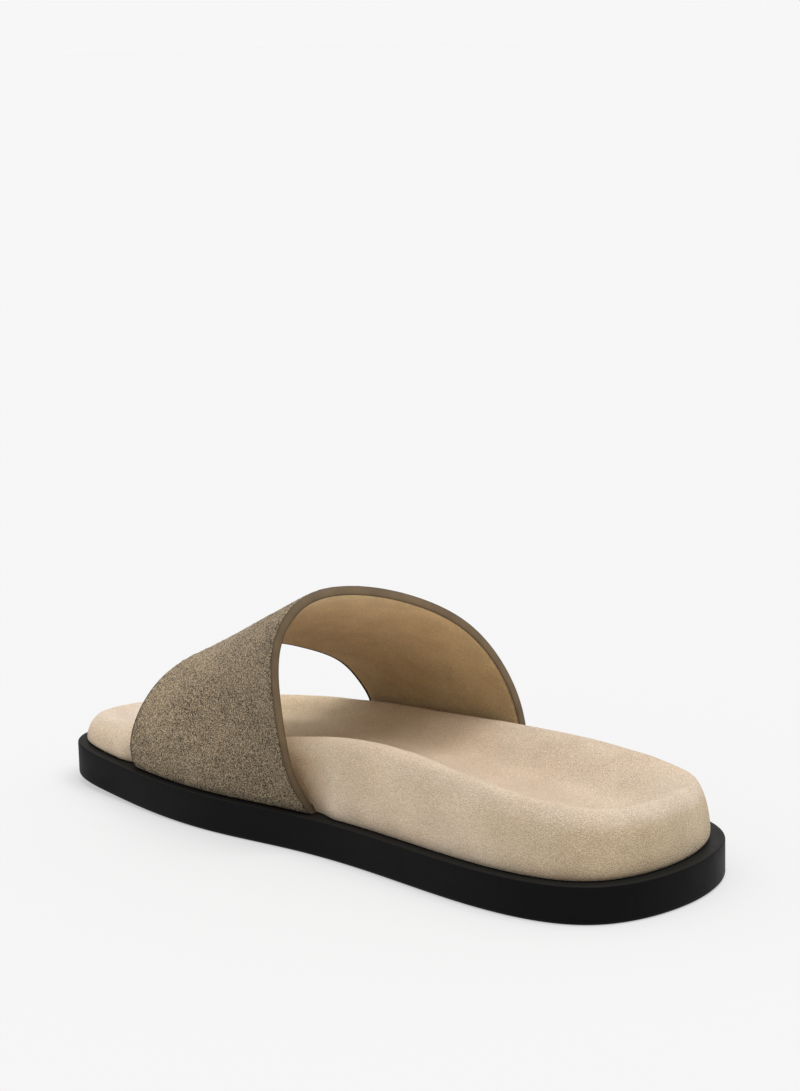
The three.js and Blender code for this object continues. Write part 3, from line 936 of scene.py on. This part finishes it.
def footbed_shell(sizes, outline):
    """Wall, rim and bed of the footbed as rings from the foot of the wall in to the middle line.

    At each station a cubic spline runs through the wall's sections, leaning in to the crest, and then through
    the bed's rings, whose height falls from the rim to the bed by a smooth step over the bank."""
    beside = beside_strap(sizes, outline)[:, None]
    lifted = over_margin(sizes, outline)[:, None] * (sizes.margin_thickness + CLEARANCE)
    draw = sizes.strap_inset + sizes.strap_thickness + CLEARANCE
    ledge = sizes.ledge_width * closed_spline(column(SOLE_ROWS, "ledge"), outline.rows)[:, None]
    rim = sizes.rim_height * closed_spline(column(SOLE_ROWS, "rim"), outline.rows)[:, None]
    bank = closed_spline(column(SOLE_ROWS, "bank"), outline.rows)[:, None]
    middle = middle_line(outline)
    base = sizes.outsole_thickness + CLEARANCE

    rows = []
    for row in WALL_ROWS:
        drawn_in = beside * (1 - smooth_step(row.up / DRAW_IN_RIM_SHARE))
        foot = ledge + (draw - ledge) * drawn_in
        crest = sizes.ledge_width + (draw - sizes.ledge_width) * drawn_in + sizes.rim_round
        inset = foot + (crest - foot) * row.lean + sizes.wall_tuck * row.tuck * (1 - beside)
        height = lifted + (rim - lifted) * row.up
        rows.append(at_height(sizes, outline.points + outline.inward * inset, base + height[:, 0]))
    crest_line = outline.points + outline.inward * (sizes.ledge_width + sizes.rim_round)
    along = 0.5 + middle[:, 0] / (sizes.sole_length * MIDDLE_LENGTH_SHARE)
    bed = sizes.bed_thickness * open_spline(column(BED_ROWS, "bed"), along * (len(BED_ROWS) - 1))[:, None]
    for share in BED_RINGS:
        height = bed + (rim - bed) * smooth_step(1 - share / bank)
        rows.append(at_height(sizes, crest_line + (middle - crest_line) * share, base + height[:, 0]))
    rows = np.array(rows)
    steps = np.linspace(0, len(rows) - 1, (len(rows) - 1) * RINGS_PER_ROW + 1)
    return open_spline(controls_through(rows), steps)


def footbed_underside(sizes, outline, foot_ring):
    """Underside of the footbed from the middle line out to the wall's foot, stepped up over the margins."""
    middle = middle_line(outline)
    base = sizes.outsole_thickness + CLEARANCE
    lifted = over_margin(sizes, outline) * (sizes.margin_thickness + CLEARANCE)
    way_out = foot_ring[:, :2] - middle
    rings = [at_height(sizes, middle + way_out * row.out, base + lifted * row.raised) for row in UNDER_ROWS]
    return np.array(rings)


class SANDAL_OT_footbed(bpy.types.Operator):
    """Builds the contoured footbed with its suede cover"""

    bl_idname = "sandal.footbed"
    bl_label = "Footbed"

    def execute(self, context):
        sizes, colours = context.scene.sandal_sizes, context.scene.sandal_colours
        outline = sole_outline(sizes)
        shell = footbed_shell(sizes, outline)
        under = footbed_underside(sizes, outline, shell[0])
        ease = np.linspace(0, 1, len(shell))[:, None]
        fade = smooth_step(ease / RIPPLE_GROWTH) * smooth_step((1 - ease) / RIPPLE_DECAY)
        wave = sum(ripple_height(shell, ripple) for ripple in SUEDE_RIPPLES)
        shell = shell + grid_normals(shell) * (wave * fade)[..., None]
        points = np.concatenate([under, shell])
        row = ease * (len(WALL_ROWS) - 1 + len(BED_RINGS))
        side = 1 - smooth_step((row - SIDE_COLOUR_ROW) / SIDE_COLOUR_FADE)
        side = np.concatenate([np.ones((len(under), 1)), side])
        material = suede_material(
            "footbed_suede",
            (colours.suede_dark, colours.suede_light),
            patch=14 * MM,
            clouds=0.3,
            shade=FOOTBED_SHADE,
            side_colours=(colours.side_dark, colours.side_light),
        )
        faces = ring_faces(*points.shape[:2])
        add_piece("footbed_suede_cover", "footbed", points, faces, material, side)
        return {"FINISHED"}


def strap_edge(sizes, outline, edge, u):
    """One edge of the strap at row position u: an open spline of the sections between its two feet.

    Above its feet it runs forward by 1 - exp(-rise / DRAW_RISE) of its draw."""
    edge_rise = (sizes.strap_front_rise, sizes.strap_rear_rise)[edge.end]
    medial, lateral = (strap_foot(sizes, outline, side, edge.end) for side in (1, -1))
    span = open_spline(column(STRAP_ROWS, edge.place + "_span"), u)[..., None]
    up = edge_rise * open_spline(column(STRAP_ROWS, edge.place + "_rise"), u)
    flat = medial + (lateral - medial) * span
    drawn = edge.draw * (1 - np.exp(-np.maximum(up, 0) / DRAW_RISE))
    return np.stack([flat[..., 0] + drawn, flat[..., 1], up], axis=-1)


def strap_face(sizes, outline, u, t):
    """Outer face of the strap at row position u from foot to foot and at t from front edge to rear edge.

    The face runs straight from the front edge to the rear one, with a slight bow, and low down it follows
    the curve of the sole's side."""
    u, t = np.broadcast_arrays(np.asarray(u, float), np.asarray(t, float))
    front = strap_edge(sizes, outline, FRONT_EDGE, u)
    rear = strap_edge(sizes, outline, REAR_EDGE, u)
    face = front + (rear - front) * t[..., None]
    hug = 1 - smooth_step(face[..., 2] / (HUG_SHARE * sizes.strap_front_rise))
    medial = u < LAST_STRAP_ROW / 2
    for side, chosen in ((1, medial), (-1, ~medial)):
        front_y, rear_y = strap_foot(sizes, outline, side, [0, 1])[:, 1]
        straight = front_y + (rear_y - front_y) * t
        swell = strap_foot(sizes, outline, side, t)[..., 1] - straight
        face[..., 1] += np.where(chosen, swell * hug, 0)
    face[..., 2] += STRAP_BOW * 4 * t * (1 - t) * smooth_step(face[..., 2] / sizes.strap_front_rise)
    return face


def strap_frame(sizes, outline, u, t):
    """Outer face of the strap, its outward normal and its unit way from front to rear, from short slopes."""
    face = strap_face(sizes, outline, u, t)
    ahead = strap_face(sizes, outline, np.minimum(u + SLOPE_STEP, LAST_STRAP_ROW), t)
    behind = strap_face(sizes, outline, np.maximum(u - SLOPE_STEP, 0), t)
    along = strap_face(sizes, outline, u, t + SLOPE_STEP) - strap_face(sizes, outline, u, t - SLOPE_STEP)
    normal = np.cross(along, ahead - behind)
    to_foot = np.minimum(u, LAST_STRAP_ROW - u)
    normal[..., 2] *= smooth_step(to_foot / LEVEL_ROWS)
    normal /= np.linalg.norm(normal, axis=-1, keepdims=True)
    along /= np.linalg.norm(along, axis=-1, keepdims=True)
    return face, normal, along


def onto_outsole(sizes, points):
    """Strap points, measured from its foot, set on the outsole with the toe spring added."""
    lift = sizes.outsole_thickness + CLEARANCE + spring_at(sizes, points[..., 0])
    return points + lift[..., None] * [0, 0, 1]


def closed_sheet(sizes, outer, inner):
    """Points and faces of the closed skin between two matching grids, set on the outsole."""
    rows, columns = outer.shape[:2]
    points = onto_outsole(sizes, np.concatenate([outer, inner[:, ::-1]], axis=1))
    faces = [ring_faces(rows, 2 * columns)]
    for row, flip in ((0, False), (rows - 1, True)):
        start = row * 2 * columns
        near = start + np.arange(columns - 1)
        far = start + 2 * columns - 1 - np.arange(columns - 1)
        cap = np.stack([near, near + 1, far - 1, far], axis=-1)
        faces.append(cap[:, ::-1] if flip else cap)
    return points, np.concatenate(faces)


def dip(depth, width, away):
    """Depth of a soft dip at a distance from its deepest place: depth * exp(-(away / width)^2)."""
    return depth * np.exp(-((away / width) ** 2))


def strap_layer(sizes, outline, layer):
    """Outer and inner grid of one layer of the strap, its normals and each point's way to the nearer edge.

    Both grids lie below the strap's outer face, along its normals, and dip beside the painted edge. Near the
    strap's feet the layer stops a little shorter of the strap's edges."""
    u = LAST_STRAP_ROW * crowded(SHEET_RINGS, RING_CROWDING)
    across = strap_face(sizes, outline, u, 0.0) - strap_face(sizes, outline, u, 1.0)
    lengths = np.linalg.norm(across, axis=-1)
    to_foot = np.minimum(u, LAST_STRAP_ROW - u)
    short = layer.short + FOOT_SHORT * (1 - smooth_step(to_foot / FOOT_SHORT_ROWS))
    t = short / lengths + (1 - 2 * short / lengths) * crowded(layer.strips, STRIP_CROWDING)[:, None]
    face, normal, _ = strap_frame(sizes, outline, np.broadcast_to(u, t.shape), t)
    to_edge = np.minimum(t, 1 - t) * lengths
    outer_depth = layer.top + dip(layer.top_dip, TOP_DIP_WIDTH, to_edge - short)
    inner_depth = layer.low - dip(layer.low_dip, LOW_DIP_WIDTH, to_edge - short)
    outer = face - normal * outer_depth[..., None]
    inner = face - normal * inner_depth[..., None]
    return outer, inner, normal, to_edge


def grained(points, normal):
    """Points moved along their normals by seeded heights, each averaged with two neighbours."""
    random = np.random.default_rng(GRAIN_SEED)
    rough = random.normal(size=points.shape[:2])
    rough = (rough + np.roll(rough, 1, 0) + np.roll(rough, 1, 1)) / 3
    return points + normal * (GRAIN_HEIGHT * rough)[..., None]


def rounded_foot(points, normal):
    """Points near the strap's foot drawn in so that its outer face meets the outsole in a quarter circle."""
    drop = np.clip(FOOT_RADIUS - points[..., 2], 0, FOOT_RADIUS)
    return points - (normal * [1, 1, 0]) * (FOOT_RADIUS - np.sqrt(FOOT_RADIUS**2 - drop**2))[..., None]


def raised_foot(points, height):
    """Points raised by height at the strap's foot and less above it: height * exp(-z / LIFT_FALL)."""
    raised = points.copy()
    raised[..., 2] += height * np.exp(-points[..., 2] / LIFT_FALL)
    return raised


def margin_edge(sizes, start, side, to_edge, height):
    """Far edge of a lasting margin: the foot carried on towards the sole's middle line.

    It widens by a smooth step away from the strap's edges."""
    taper = smooth_step((to_edge - MARGIN_TAPER_START) / MARGIN_TAPER_LENGTH)
    full_reach = sizes.margin_length + sizes.strap_thickness - NUBUCK_THICKNESS
    reach = MARGIN_LEAST_REACH + full_reach * taper
    slant = (1 - MIDDLE_LENGTH_SHARE) * start[:, 0] / np.abs(start[:, 1])
    x = start[:, 0] - slant * reach
    y = start[:, 1] - side * reach
    return np.stack([x, y, np.full(len(x), height)], axis=1)


def nubuck_sheet(sizes, outline):
    """The strap's nubuck: its layer with grained outer face, carried on at both feet as lasting margins."""
    layer = Layer(top=0.0, low=NUBUCK_THICKNESS, top_dip=0.5 * MM, low_dip=0.0, short=0.1 * MM, strips=144)
    outer, inner, normal, to_edge = strap_layer(sizes, outline, layer)
    outer = rounded_foot(grained(outer, normal), normal)
    outer[..., 2] = np.maximum(outer[..., 2], 0)
    inner = raised_foot(inner, sizes.margin_thickness)
    sides = []
    for grid, height in ((outer, 0.0), (inner, sizes.margin_thickness)):
        margins = []
        for place, side in ((0, 1), (-1, -1)):
            near = grid[:, place]
            far = margin_edge(sizes, inner[:, place], side, to_edge[:, place], height)
            halfway = near + (far - near) * 0.5
            margins.append(np.stack([halfway, far], axis=1))
        medial, lateral = margins
        sides.append(np.concatenate([medial[:, ::-1], grid, lateral], axis=1))
    return closed_sheet(sizes, *sides)


def lining_sheet(sizes, outline):
    """The strap's suede lining: its layer below the nubuck, whose feet stand on the lasting margins."""
    top = NUBUCK_THICKNESS + LINING_GAP
    low = sizes.strap_thickness
    layer = Layer(top, low, top_dip=0.0, low_dip=0.9 * MM, short=0.15 * MM, strips=90)
    outer, inner, _, _ = strap_layer(sizes, outline, layer)
    lift = sizes.margin_thickness + LINING_LIFT
    return closed_sheet(sizes, raised_foot(outer, lift), raised_foot(inner, lift))


def squared(value):
    """Sine or cosine bent outwards, so that an ellipse becomes a rounded oblong."""
    return np.sign(value) * np.abs(value) ** BEAD_POWER


def painted_edge(sizes, outline, t_edge, inward):
    """Bead of edge paint along one edge of the strap: a squared ellipse carried from foot to foot.

    The ellipse lies across the strap's thickness and stands a little proud of the edge. The third result
    is 1 where the bead meets the strap's two faces and 0 between them; it darkens the paint there as
    painted shade."""
    u = LAST_STRAP_ROW * crowded(EDGE_RINGS, RING_CROWDING)
    face, normal, along = strap_frame(sizes, outline, u, np.full(u.shape, float(t_edge)))
    turn = np.linspace(0, 2 * math.pi, BEAD_POINTS, endpoint=False)
    centre = sizes.strap_thickness / 2 - BEAD_OUTWARD
    depth = centre + (centre - BEAD_BELOW_FACE) * squared(np.cos(turn))
    reach = BEAD_INWARD - BEAD_HALF_WIDTH * squared(np.sin(turn))
    ring = face[:, None] - normal[:, None] * depth[:, None] + along[:, None] * (inward * reach)[:, None]
    ring[..., 2] = np.maximum(ring[..., 2], 0.0)
    outward = np.clip(1 - depth / sizes.strap_thickness, 0, 1)[:, None]
    ring += (rounded_foot(ring, normal[:, None]) - ring) * outward
    ring = onto_outsole(sizes, ring)
    across = np.abs(depth - centre) / np.max(depth - centre)
    if inward > 0:
        ring = ring[:, ::-1]
        across = across[::-1]
    first, last = (np.broadcast_to(ring[k].mean(axis=0), ring[k].shape)[None] for k in (0, -1))
    points = np.concatenate([first, ring, last])
    return points, ring_faces(*points.shape[:2]), across**4


class SANDAL_OT_strap(bpy.types.Operator):
    """Builds the strap: its nubuck, its lining and the paint along its cut edges"""

    bl_idname = "sandal.strap"
    bl_label = "Strap"

    def execute(self, context):
        sizes, colours = context.scene.sandal_sizes, context.scene.sandal_colours
        outline = sole_outline(sizes)
        points, faces = nubuck_sheet(sizes, outline)
        add_piece("strap_nubuck_face", "strap", points, faces, nubuck_material(colours))
        lining = suede_material(
            "strap_lining_suede",
            (colours.lining_dark, colours.lining_light),
            patch=8 * MM,
            clouds=0.35,
            shade=LINING_SHADE,
        )
        points, faces = lining_sheet(sizes, outline)
        add_piece("strap_suede_lining", "strap", points, faces, lining)
        paint = edge_paint_material(colours)
        for edge, inward in ((FRONT_EDGE, 1), (REAR_EDGE, -1)):
            points, faces, side = painted_edge(sizes, outline, edge.end, inward)
            add_piece(f"strap_{edge.place}_edge_paint", "strap", points, faces, paint, side)
        return {"FINISHED"}


class SANDAL_OT_stage(bpy.types.Operator):
    """Builds the floor, the lights and the camera"""

    bl_idname = "sandal.stage"
    bl_label = "Stage"

    def execute(self, context):
        stage = context.scene.sandal_stage
        self.add_floor(stage)
        self.add_light(context, stage)
        self.add_camera(context, stage)
        return {"FINISHED"}

    def add_floor(self, stage):
        """One large pale plane under the sandal."""
        corners = [(x * FLOOR_REACH, y * FLOOR_REACH, 0) for x, y in ((-1, -1), (1, -1), (1, 1), (-1, 1))]
        mesh = bpy.data.meshes.new("floor")
        mesh.from_pydata(corners, [], [(0, 1, 2, 3)])
        material, shader, _ = start_material("floor_paper")
        inputs = {
            "Base Color": scaled(WHITE, stage.floor_tone),
            "Roughness": 1.0,
            "Specular IOR Level": 0.0,
            "Emission Color": WHITE,
            "Emission Strength": stage.floor_glow,
        }
        fill_inputs(material, shader, inputs)
        mesh.materials.append(material)
        floor = bpy.data.objects.new("floor", mesh)
        bpy.context.collection.objects.link(floor)

    def add_light(self, context, stage):
        """An even dome, dimmer behind the heel, and one broad sun from above."""
        world = bpy.data.worlds.new("studio")
        context.scene.world = world
        world.use_nodes = True
        way = add_node(world, "ShaderNodeTexCoord", {}).outputs["Generated"]
        dimmest = stage.dome_strength * stage.dome_heel_share
        ramp = (DOME_RAMP_START, DOME_RAMP_END, dimmest, stage.dome_strength)
        glow = spread(world, axis(world, way, "X"), *ramp, way="SMOOTHSTEP")
        fill_inputs(world, world.node_tree.nodes["Background"], {"Color": WHITE, "Strength": glow})
        lamp = bpy.data.lights.new("key", "SUN")
        lamp.energy = stage.key_strength
        lamp.angle = KEY_SPREAD
        key = bpy.data.objects.new("key", lamp)
        key.rotation_mode = "QUATERNION"
        key.rotation_quaternion = KEY_WAY.to_track_quat("Z", "Y")
        bpy.context.collection.objects.link(key)
        context.scene.view_settings.view_transform = "Standard"

    def add_camera(self, context, stage):
        """Looks from the medial side and the heel, panned, tilted and rolled about its own axes."""
        a, e = stage.azimuth, stage.elevation
        back = Vector((-math.sin(a) * math.cos(e), math.cos(a) * math.cos(e), math.sin(e)))
        forward = -back
        right = forward.cross(Vector((0, 0, 1))).normalized()
        up = right.cross(forward)
        for name, turned_by in (("up", stage.pan), ("right", stage.tilt), ("forward", stage.roll)):
            about = {"up": up, "right": right, "forward": forward}[name]
            turn = Quaternion(about, turned_by)
            forward, right, up = turn @ forward, turn @ right, turn @ up
        data = bpy.data.cameras.new("camera")
        data.lens = stage.focal_length
        data.sensor_width = SENSOR_WIDTH
        data.clip_start = CLIP_START
        data.clip_end = CLIP_END
        camera = bpy.data.objects.new("camera", data)
        pose = Matrix((right, up, -forward)).transposed().to_4x4()
        pose.translation = back * stage.distance + Vector((0, SOLE_MIDDLE_Y, AIM_HEIGHT))
        camera.matrix_world = pose
        bpy.context.collection.objects.link(camera)
        context.scene.camera = camera


class SANDAL_PT_panel(bpy.types.Panel):
    """The sandal's sizes, colours and pieces"""

    bl_idname = "SANDAL_PT_panel"
    bl_label = "Slide Sandal"
    bl_space_type = "VIEW_3D"
    bl_region_type = "UI"
    bl_category = "Sandal"

    def draw(self, context):
        groups = (context.scene.sandal_sizes, context.scene.sandal_colours, context.scene.sandal_stage)
        for group in groups:
            box = self.layout.box()
            for name in group.__annotations__:
                box.prop(group, name)
        for operator in PIECE_OPERATORS:
            self.layout.operator(operator.bl_idname)


PIECE_OPERATORS = (SANDAL_OT_outsole, SANDAL_OT_footbed, SANDAL_OT_strap, SANDAL_OT_stage)
CLASSES = (SandalSizes, SandalColours, SandalStage, *PIECE_OPERATORS, SANDAL_PT_panel)


def register():
    """Registers the classes and hangs the property groups on the scene."""
    for item in CLASSES:
        bpy.utils.register_class(item)
    bpy.types.Scene.sandal_sizes = bpy.props.PointerProperty(type=SandalSizes)
    bpy.types.Scene.sandal_colours = bpy.props.PointerProperty(type=SandalColours)
    bpy.types.Scene.sandal_stage = bpy.props.PointerProperty(type=SandalStage)


def unregister():
    """Takes the property groups off the scene and unregisters the classes."""
    del bpy.types.Scene.sandal_stage
    del bpy.types.Scene.sandal_colours
    del bpy.types.Scene.sandal_sizes
    for item in reversed(CLASSES):
        bpy.utils.unregister_class(item)


def main():
    register()
    bpy.ops.sandal.outsole()
    bpy.ops.sandal.footbed()
    bpy.ops.sandal.strap()
    bpy.ops.sandal.stage()


if __name__ == "__main__":
    main()
